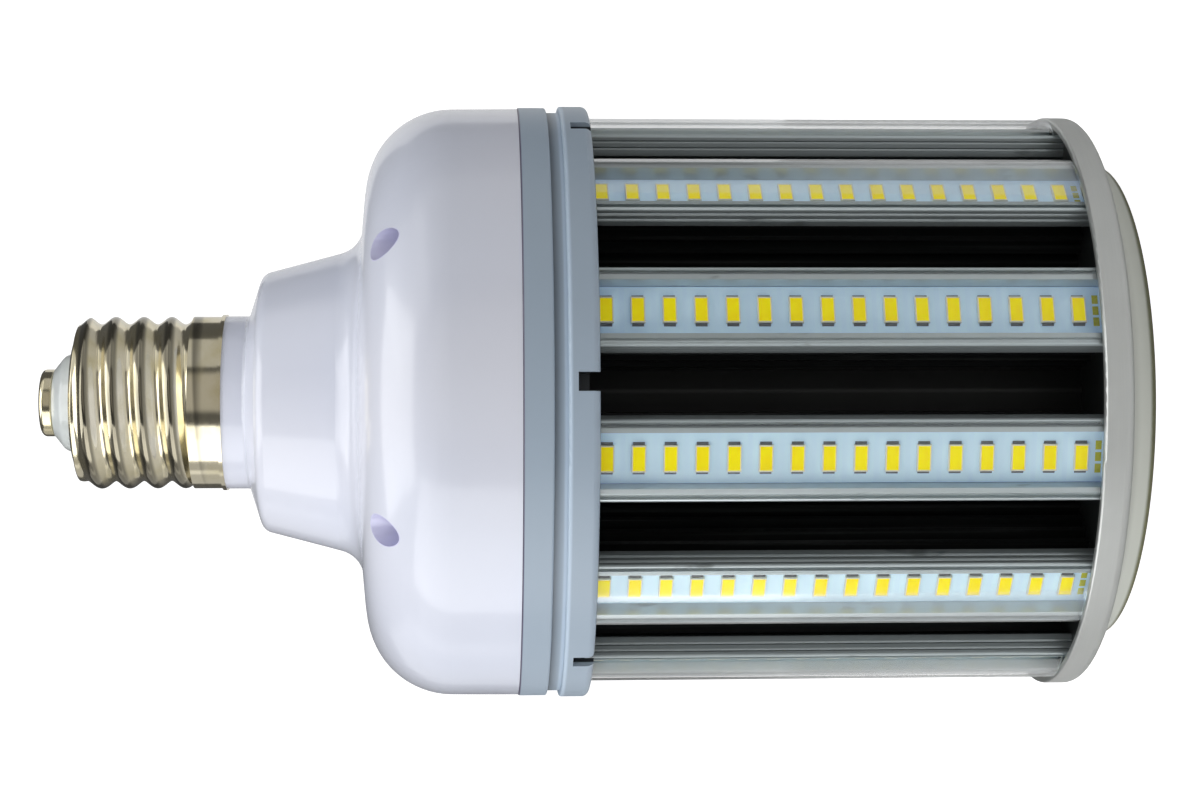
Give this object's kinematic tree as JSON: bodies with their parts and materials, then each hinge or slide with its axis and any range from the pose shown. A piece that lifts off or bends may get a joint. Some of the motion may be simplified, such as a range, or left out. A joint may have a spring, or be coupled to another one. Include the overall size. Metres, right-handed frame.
{
  "type": "led corn lamp with screw cap",
  "caption": "Cylindrical high-power LED lamp: lit aluminium bars round a core, white driver housing and a large screw cap that screws into a lampholder.",
  "frame": {"origin": "centre of the end cover's flat face, which the lamp stands on", "axes": "+Z along the lamp's axis, from the end cover towards the screw cap; +X through the middle of bar 1"},
  "size_m": [0.1358, 0.1358, 0.2439],
  "materials": {
    "white_plastic": "glossy moulded",
    "grey_plastic": "fine satin moulded",
    "satin_aluminium": "satin extruded",
    "silver_casting": "silver painted casting",
    "board_white": "white solder mask, yellow LEDs",
    "clear_strip": "clear moulded plastic",
    "translucent_cover": "milky translucent plastic",
    "nickel_plate": "nickel-plated, polished",
    "glassy_insulator": "milky glassy",
    "zinc_screw": "zinc plated",
    "board_green": "green solder mask",
    "ferrite": "dull dark ferrite",
    "winding_tape": "yellow tape",
    "capacitor_sleeve": "dark sleeve",
    "black_epoxy": "dull moulded",
    "lead_insulation": "soft insulation"
  },
  "bodies": {
    "root": {"end_cover": "translucent_cover", "head_board": "board_white", "end_ring": "silver_casting", "head_screws": "zinc_screw", "core_tube": "satin_aluminium", "flange_ring": "grey_plastic", "driver_base": "grey_plastic", "driver_housing": "white_plastic", "housing_screws": "zinc_screw", "screw_shell": "nickel_plate", "cap_insulator": "glassy_insulator", "eyelet_contact": "nickel_plate", "driver_board": "board_green", "transformer_core": "ferrite", "transformer_winding": "winding_tape", "capacitors": "capacitor_sleeve", "choke": "winding_tape", "transistor_sink": "satin_aluminium", "transistors": "black_epoxy", "live_lead": "lead_insulation", "head_lead": "lead_insulation", "led_bar_01": "satin_aluminium", "led_board_01": "board_white", "lens_strip_01": "clear_strip", "led_bar_02": "satin_aluminium", "led_board_02": "board_white", "lens_strip_02": "clear_strip", "led_bar_03": "satin_aluminium", "led_board_03": "board_white", "lens_strip_03": "clear_strip", "led_bar_04": "satin_aluminium", "led_board_04": "board_white", "lens_strip_04": "clear_strip", "led_bar_05": "satin_aluminium", "led_board_05": "board_white", "lens_strip_05": "clear_strip", "led_bar_06": "satin_aluminium", "led_board_06": "board_white", "lens_strip_06": "clear_strip", "led_bar_07": "satin_aluminium", "led_board_07": "board_white", "lens_strip_07": "clear_strip", "led_bar_08": "satin_aluminium", "led_board_08": "board_white", "lens_strip_08": "clear_strip", "led_bar_09": "satin_aluminium", "led_board_09": "board_white", "lens_strip_09": "clear_strip", "led_bar_10": "satin_aluminium", "led_board_10": "board_white", "lens_strip_10": "clear_strip", "led_bar_11": "satin_aluminium", "led_board_11": "board_white", "lens_strip_11": "clear_strip", "led_bar_12": "satin_aluminium", "led_board_12": "board_white", "lens_strip_12": "clear_strip"}
  },
  "joints": []
}
